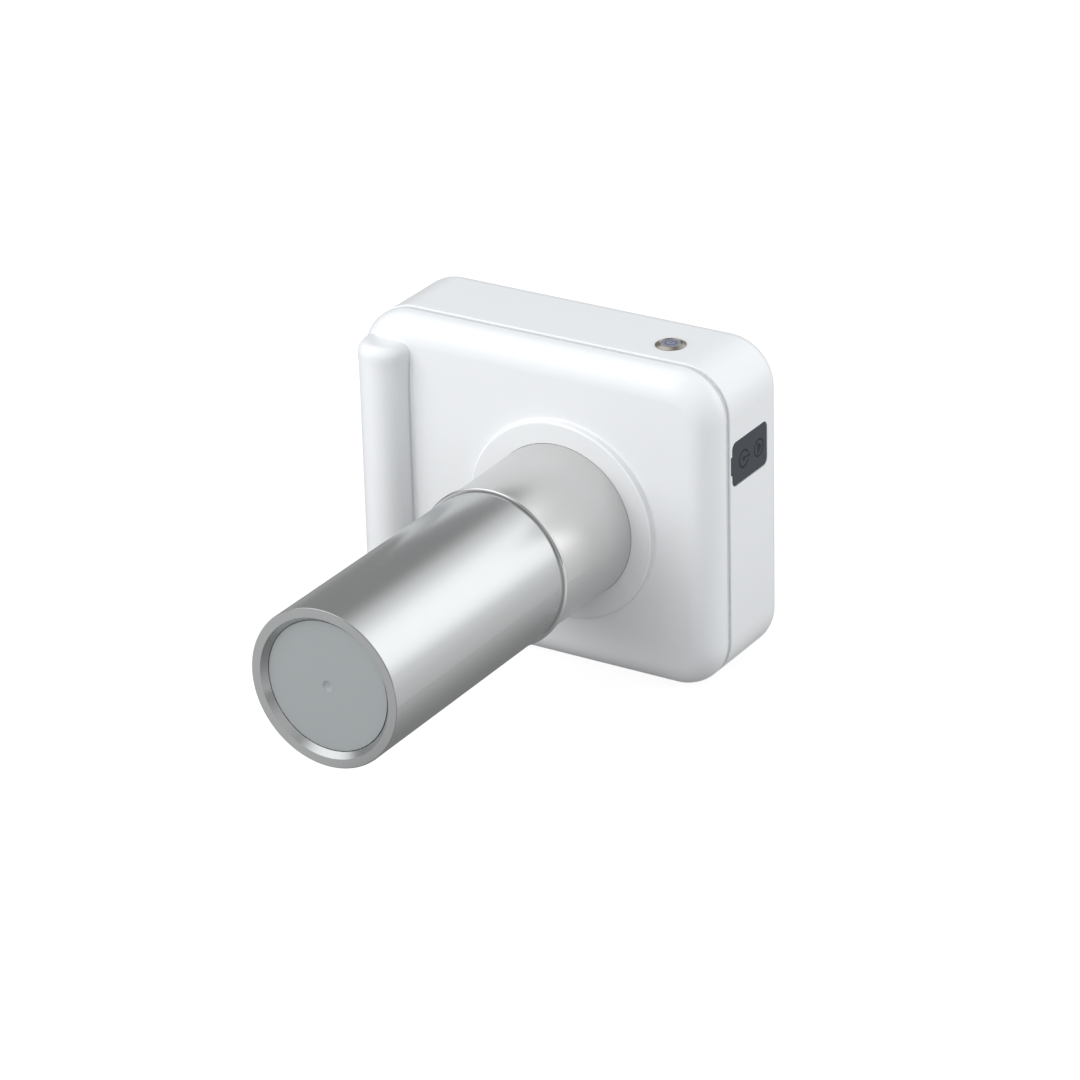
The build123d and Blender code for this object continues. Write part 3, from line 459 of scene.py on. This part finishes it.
NODE_FINISHES = {
    moulded("white_case", (0.85, 0.86, 0.87), 0.29, 0.2, 0.3): ["front_shell", "rear_shell"],
    WHITE_GRIP: ["grip_panel"],
    # Seam gasket: grey rubber, darkened further as painted shade of the groove it sits in between the shells
    rubber("seam_grey_and_painted_shade", (0.62, 0.63, 0.635), 0.5): ["seam_gasket"],
    satin_metal("satin_tube", (0.60, 0.61, 0.61), 0.20): ["cone_tube"],
    satin_metal("satin_base", (0.70, 0.70, 0.69), 0.22): ["cone_base"],
    machined("polished_ring", (0.80, 0.80, 0.80), 0.08): ["cone_ring"],
    DISC: ["cone_window"],
    port_cover_rubber(): ["port_cover"],
    moulded("button_blue", (0.07, 0.20, 0.42), 0.3, 0.2, 0.3): ["exposure_button"],
    STEEL: ["power_bezel", "exposure_bezel"],
    POWER_CAP: ["power_button"],
    machined("screw_steel", (0.45, 0.45, 0.46), 0.28): [
        "case_screws", "tubehead_screws", "board_screws", "key_board_screws", "power_nut"],
    dull("tank_steel", (0.42, 0.44, 0.46), 120.0, 0.45, 0.6): [
        "tubehead_housing", "tubehead_lid", "window_retainer", "beam_filter"],
    dull("lead_sheet", (0.24, 0.25, 0.27), 180.0, 0.6, 0.8): [
        "lead_lining", "lid_shield", "cone_liner", "collimator_plate"],
    machined("copper", (0.80, 0.42, 0.26), 0.22): ["anode", "transformer_windings"],
    dull("ferrite", (0.06, 0.06, 0.065), 400.0, 0.55): ["transformer_core"],
    moulded("bulb_glass", (0.70, 0.76, 0.74), 0.06, 0.0, 0.6): ["tube_envelope"],
    dull("insulator", (0.72, 0.67, 0.50), 300.0, 0.6): [
        "tube_saddles", "board_standoffs", "multiplier_board"],
    moulded("board_green", (0.03, 0.17, 0.09), 0.35, 0.5): ["main_board", "key_board", "port_board"],
    moulded("part_black", (0.03, 0.03, 0.033), 0.45, 0.6): [
        "board_parts", "buzzer", "display_module", "power_switch", "charge_jack", "remote_jack",
        "battery_holder", "cathode"],
    screen_glass(): ["display_lens"],
    moulded("cell_wrap", (0.06, 0.25, 0.45), 0.3, 0.2): ["battery_cells"],
    BRASS: ["tripod_insert", "battery_contacts", "key_domes"],
}
for key, (x_place, sign) in KEYS.items():
    NODE_FINISHES[key_rubber(x_place, sign)] = [key]
for material, names in NODE_FINISHES.items():
    for name in names:
        for slot in CAD[name].material_slots:
            slot.material = material


# Surfaces
def grid_object(name, points, close_columns=False):
    """Object of one surface: points is an array of rows by columns by three, joined by four-sided faces."""
    rows, columns = points.shape[:2]
    number = np.arange(rows * columns).reshape(rows, columns)
    if close_columns:
        number = np.concatenate([number, number[:, :1]], axis=1)
    corners = [number[:-1, :-1], number[:-1, 1:], number[1:, 1:], number[1:, :-1]]
    faces = np.stack([c.ravel() for c in corners], axis=1)
    mesh = bpy.data.meshes.new(name)
    mesh.from_pydata(points.reshape(-1, 3).tolist(), [], faces.tolist())
    mesh.shade_smooth()
    made = bpy.data.objects.new(name, mesh)
    bpy.context.scene.collection.objects.link(made)
    return made


def seal(made):
    """Joins what meets at seams and poles, turns the faces outwards and keeps the true edges crisp."""
    shape = bmesh.new()
    shape.from_mesh(made.data)
    bmesh.ops.remove_doubles(shape, verts=shape.verts, dist=0.000001)
    bmesh.ops.dissolve_degenerate(shape, edges=shape.edges, dist=0.000001)
    bmesh.ops.recalc_face_normals(shape, faces=shape.faces)
    shape.to_mesh(made.data)
    shape.free()
    made.data.shade_smooth()
    made.data.set_sharp_from_angle(angle=float(np.radians(SHARP_ANGLE)))


def turned(name, profile, centre, along):
    """Surface of revolution, in millimetres.

    Each row is a circle: centre + reach * along + radius * (cos t * across + sin t * side).
    """
    radius, reach = np.array(profile, float).T
    t = np.radians(np.arange(0, 360, 360 / TURN_STEPS))
    along = Vector(along)
    across = along.orthogonal().normalized()
    basis = np.array([across, along.cross(across), along])
    circles = np.stack([np.outer(radius, np.cos(t)), np.outer(radius, np.sin(t)),
                        np.outer(reach, np.ones_like(t))], axis=2)
    made = grid_object(name, (circles @ basis + np.array(centre)) * MM, close_columns=True)
    seal(made)
    return made


def arc(middle, radius, start, end, count):
    """Points of a circle's arc in the profile's plane, angles in degrees."""
    t = np.radians(np.linspace(start, end, count))
    return list(zip(middle[0] + radius * np.cos(t), middle[1] + radius * np.sin(t)))


def fit(piece, material, body, slot, *nodes):
    """Gives a new piece its finish and its body, and hides the nodes that it stands for; slot is not used."""
    piece.data.materials.append(material)
    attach(piece, body)
    if nodes:
        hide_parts(*nodes)


def middle_of(node):
    low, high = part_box(node)
    return [(a + b) / 2 / MM for a, b in zip(low, high)]


def make_end_window():
    """End disc of the cone, turned: a flat field whose middle sinks as a bowl round a tiny point.

    Depth at radius r: bowl * (1 - (r / R)^2) inside R, less a small Gaussian bump at the middle.
    """
    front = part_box("cone_window")[0].y / MM
    flat_end = WINDOW_RADIUS - WINDOW_EDGE
    r = np.concatenate([np.linspace(0, BOWL_RADIUS, 25), np.linspace(BOWL_RADIUS + 0.2, flat_end, 12)])
    bowl = BOWL_DEPTH * np.clip(1 - (r / BOWL_RADIUS) ** 2, 0, None)
    depth = bowl - POINT_HEIGHT * np.exp(-((r / POINT_RADIUS) ** 2))
    profile = list(zip(r, depth)) + arc((flat_end, WINDOW_EDGE), WINDOW_EDGE, -80, 0, 5)
    profile += [(WINDOW_RADIUS, WINDOW_STEP), (FLANGE_RADIUS, WINDOW_STEP)]
    profile += [(FLANGE_RADIUS, WINDOW_BACK), (0, WINDOW_BACK)]
    disc = turned("end_window", profile, (CONE_X / MM, front, CONE_Z / MM), (0, 1, 0))
    fit(disc, DISC, "case", "window_grey", "cone_window")


def make_power_bezel():
    """Bezel of the power button, turned: a barrel under a wide flat bevel with a rounded lip."""
    x, y, _ = middle_of("power_bezel")
    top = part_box("power_bezel")[1].z / MM
    foot = top - BEZEL_HEIGHT
    end = foot - BARREL_LENGTH
    profile = [(BEZEL_BORE, end), (BARREL_RADIUS, end), (BARREL_RADIUS, foot), (BEZEL_RADIUS, foot)]
    profile += arc((BEZEL_RADIUS - BEZEL_EDGE, foot + 0.12), BEZEL_EDGE, 0, 60, 5)
    profile += arc((LIP_PLACE, top - LIP_RADIUS), LIP_RADIUS, 62, 180, 9)
    profile += [(BEZEL_BORE, top - 0.35), (BEZEL_BORE, end)]
    bezel = turned("power_bezel_turned", profile, (x, y, 0), (0, 0, 1))
    fit(bezel, STEEL, "case", "button_steel", "power_bezel")


def make_power_cap():
    """Cap of the power button, turned: slightly crowned, with a rounded edge."""
    x, y, _ = middle_of("power_button")
    low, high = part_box("power_button")
    top = high.z / MM
    foot = low.z / MM
    crown_radius = CAP_RADIUS - CAP_EDGE
    r = np.linspace(0, crown_radius, 16)
    profile = list(zip(r, top - CAP_CROWN * (r / crown_radius) ** 2))
    profile += arc((crown_radius, top - CAP_CROWN - CAP_EDGE), CAP_EDGE, 75, 0, 6)
    profile += [(CAP_RADIUS, foot), (0, foot)]
    cap = turned("power_cap_turned", profile, (x, y, 0), (0, 0, 1))
    fit(cap, POWER_CAP, "power_button", "button_steel", "power_button")


def make_tripod_thread():
    """Brass insert with its thread.

    The bore's radius at height z and angle t: root - depth * |saw(z / pitch - t)|, faded at both ends.
    """
    z = np.linspace(0.0, INSERT_LENGTH, 130)
    t = np.radians(np.arange(0, 360, 360 / THREAD_STEPS))
    turn = z[:, None] / THREAD_PITCH - t[None, :] / (2 * np.pi)
    crest = np.abs((turn % 1.0) * 2 - 1)
    ends = np.clip(np.minimum(z, INSERT_LENGTH - z) / THREAD_RUN_IN, 0, 1)[:, None]
    bore = THREAD_ROOT - (THREAD_ROOT - THREAD_CREST) * crest * ends
    outside = np.full((1, THREAD_STEPS), INSERT_RADIUS)
    radius = np.concatenate([outside, bore, outside, outside])
    height = np.concatenate([[0.0], z, [INSERT_LENGTH, 0.0]])[:, None] * np.ones((1, THREAD_STEPS))
    points = np.stack([radius * np.cos(t), radius * np.sin(t), height], axis=2) * MM
    insert = grid_object("tripod_thread", points, close_columns=True)
    seal(insert)
    fit(insert, BRASS, "case", "brass", "tripod_insert")


def make_socket_contacts():
    """Centre pin of the charging socket, turned with a rounded tip, and the sleeve in each socket."""
    _, y, z = middle_of("charge_jack")
    pin = [(0, SOCKET_FLOOR), (PIN_RADIUS, SOCKET_FLOOR), (PIN_RADIUS, PIN_END)]
    pin += arc((0.0, PIN_END), PIN_RADIUS, 0, 90, 8)
    fit(turned("charge_pin", pin, (0, y, z), (1, 0, 0)), BRASS, "case", "brass")
    start = SOCKET_FLOOR + 1
    for node, bore in SOCKET_BORES.items():
        _, y, z = middle_of(node)
        outer, rim, inner = bore - 0.02, bore - 0.16, bore - 0.22
        sleeve = [(outer, start), (outer, SLEEVE_END), (rim, SLEEVE_END + 0.3), (inner, SLEEVE_END),
                  (inner, start), (outer, start)]
        fit(turned(node + "_sleeve", sleeve, (0, y, z), (1, 0, 0)), STEEL, "case", "button_steel")


def make_grip_blends():
    """Soft concave corner along each foot of the grip column.

    At height z the corner's radius R swells from nothing at both ends, R = BLEND * (1 - c^6) with c from
    -1 to 1 along the column; its arc is centre + R * (cos t, sin t), closed by a corner sunk in the case.
    """
    c = np.linspace(-1, 1, 61)[:, None]
    size = GRIP_BLEND * (1 - np.abs(c) ** 6) + 0.02
    sunk = size * 0 - BLEND_SUNK
    t = np.radians(np.linspace(180, 90, 13))[None, :]
    out = np.concatenate([size + size * np.cos(t), size, sunk], axis=1)
    lift = np.concatenate([size - size * np.sin(t), sunk, sunk], axis=1)
    height = (GRIP_MIDDLE + c * GRIP_HALF) * np.ones_like(out)
    for side, name in ((-1, "grip_blend_left"), (1, "grip_blend_right")):
        x = GRIP_X + side * (GRIP_FOOT - FLANK_DRAFT * lift + out)
        rows = np.stack([x, FRONT - lift, height], axis=2) * MM
        middle = rows.mean(axis=1, keepdims=True) * np.ones((1, rows.shape[1], 1))
        blend = grid_object(name, np.concatenate([middle[:1], rows, middle[-1:]]), close_columns=True)
        seal(blend)
        fit(blend, WHITE_GRIP, "case", "grip_white")


# Studio
def lamp(name, place, side, power):
    """Soft square lamp facing the case. Reflections see the painted tent instead of it."""
    light = bpy.data.lights.new(name, "AREA")
    light.shape = "RECTANGLE"
    light.size = side
    light.size_y = side
    light.energy = power
    holder = bpy.data.objects.new(name, light)
    bpy.context.scene.collection.objects.link(holder)
    aim = (Vector(LAMP_TARGET) - Vector(place)).to_track_quat("-Z", "Y")
    holder.matrix_world = Matrix.Translation(place) @ aim.to_matrix().to_4x4()
    holder.visible_glossy = False


def seen_plainly(f):
    """1 for rays that look at a backdrop: from the camera, off metal, or through glass."""
    kinds = ("Is Camera Ray", "Is Glossy Ray", "Is Transmission Ray")
    return f.any_of(*[f.add("ShaderNodeLightPath", output=kind) for kind in kinds])


def make_world():
    """White behind the object; as light, a cool wrap that is strongest overhead."""
    world = bpy.data.worlds.new("studio")
    bpy.context.scene.world = world
    f = Finish("studio", world)
    generated = f.add("ShaderNodeTexCoord", output="Generated")
    height = f.add("ShaderNodeSeparateXYZ", values={0: generated}, output="Z")
    level = WRAP_HORIZON - (WRAP_HORIZON - WRAP_ZENITH) * height.within(0.05, 0.9)
    wrap = f.add("ShaderNodeBackground", values={"Color": f.glow(level, (0.95, 0.975, 1.0)), "Strength": 1.0})
    plain = f.add("ShaderNodeBackground", values={"Color": rgb(1, 1, 1), "Strength": 1.0})
    f.end(f.add("ShaderNodeMixShader", values={0: seen_plainly(f), 1: wrap, 2: plain}))


def make_floor():
    """Pale floor. Looked at, it is white apart from the object's faint shadow."""
    across = np.linspace(-FLOOR_HALF, FLOOR_HALF, 2)
    x, y = np.meshgrid(across, across)
    floor = grid_object("floor", np.stack([x, y, np.zeros_like(x)], axis=2))
    f = Finish("floor")
    bounce = f.add("ShaderNodeBsdfDiffuse", values={"Color": scaled((1, 1, 1), FLOOR_BOUNCE)})
    shadow = f.add("ShaderNodeBsdfDiffuse", values={"Color": scaled((1, 1, 1), FLOOR_SHADOW)})
    white = f.add("ShaderNodeEmission", values={"Color": rgb(1, 1, 1), "Strength": FLOOR_WHITE})
    looked_at = f.add("ShaderNodeAddShader", values={0: white, 1: shadow})
    floor.data.materials.append(
        f.end(f.add("ShaderNodeMixShader", values={0: seen_plainly(f), 1: bounce, 2: looked_at})))


def dome_level(f, at):
    """Light of the tent's dome, seen only in reflections: grey, with a soft painted highlight patch round
    each direction of TENT_BOXES.
    """
    toward = f.vector_math("NORMALIZE", f.vector_math("SUBTRACT", at, TENT_CENTRE))
    level = TENT_GREY
    for direction, inner, outer, strength in TENT_BOXES:
        facing = f.vector_math("DOT_PRODUCT", toward, Vector(direction).normalized(), output="Value")
        edge, core = np.cos(np.radians([outer, inner]))
        level = facing.within(float(edge), float(core)) * strength + level
    return level


def sheet_level(x, y):
    """Light of the tent's sheet, seen only in reflections: painted shade under the cone, brighter to its
    right, its left and far off.
    """
    aside = x - CONE_X
    ahead = y * -1.0
    right = aside.within(0.0, 0.17) * (1 - ahead.within(0.12, 0.25) * 0.5)
    left = (aside * -1.0).within(0.0, 0.04) * ahead.within(0.1, 0.27)
    far = aside.within(0.15, 0.6) * 0.2 + (aside * -1.0).within(0.1, 0.4) * 0.2
    return right * 0.5 + left * 0.38 + far + SHEET_DARK


def make_tent():
    """Painted tent that only reflections see, which paints highlights and shade into metal and gloss: a dome
    over a sheet laid just above the floor.

    Row by row the profile runs along the sheet from the middle outwards, then up a quarter circle.
    """
    rise = np.radians(np.linspace(0, 90, TENT_ROWS))
    radius = np.concatenate([np.linspace(0, TENT_RADIUS, TENT_ROWS), TENT_RADIUS * np.cos(rise)])
    height = np.concatenate([np.zeros(TENT_ROWS), TENT_RADIUS * np.sin(rise)]) + TENT_LIFT
    round_ = np.radians(np.arange(0, 360, 5))
    points = np.stack([np.outer(radius, np.cos(round_)), np.outer(radius, np.sin(round_)),
                       np.outer(height, np.ones_like(round_))], axis=2)
    tent = grid_object("tent", points, close_columns=True)
    f = Finish("tent")
    x, y, z = f.coordinates()
    above = z.within(TENT_LIFT * 1.5, TENT_LIFT * 2)
    level = above * dome_level(f, f.place()) + (1 - above) * sheet_level(x, y)
    glow = f.add("ShaderNodeEmission", values={"Color": f.glow(level, (0.985, 0.995, 1.0)), "Strength": 1.0})
    tent.data.materials.append(f.end(glow))
    for ray in ("camera", "diffuse", "transmission", "volume_scatter", "shadow"):
        setattr(tent, "visible_" + ray, False)


def make_camera():
    """Camera at the photograph's place, looking back along its azimuth and elevation, then rolled."""
    azimuth, elevation, roll = np.radians([CAMERA_AZIMUTH, CAMERA_ELEVATION, CAMERA_ROLL])
    back = Vector((np.sin(azimuth) * np.cos(elevation), -np.cos(azimuth) * np.cos(elevation),
                   np.sin(elevation)))
    level_right = (-back).cross(Vector((0, 0, 1))).normalized()
    level_up = level_right.cross(-back)
    right = level_right * float(np.cos(roll)) + level_up * float(np.sin(roll))
    up = level_up * float(np.cos(roll)) - level_right * float(np.sin(roll))
    lens = bpy.data.cameras.new("camera")
    lens.sensor_width = SENSOR
    lens.lens = FOCAL_PIXELS / FRAME_PIXELS * SENSOR
    lens.shift_x = (FRAME_PIXELS / 2 - AXIS_PIXEL[0]) / FRAME_PIXELS
    lens.shift_y = (AXIS_PIXEL[1] - FRAME_PIXELS / 2) / FRAME_PIXELS
    lens.clip_end = CAMERA_REACH
    camera = bpy.data.objects.new("camera", lens)
    bpy.context.scene.collection.objects.link(camera)
    camera.matrix_world = Matrix.Translation(CAMERA_PLACE) @ Matrix((right, up, back)).transposed().to_4x4()
    bpy.context.scene.camera = camera


make_end_window()
make_power_bezel()
make_power_cap()
make_tripod_thread()
make_socket_contacts()
make_grip_blends()
make_world()
make_floor()
make_tent()
for lamp_name, (place, side, power) in LAMPS.items():
    lamp(lamp_name, place, side, power)
make_camera()
bpy.context.scene.view_settings.view_transform = "Standard"
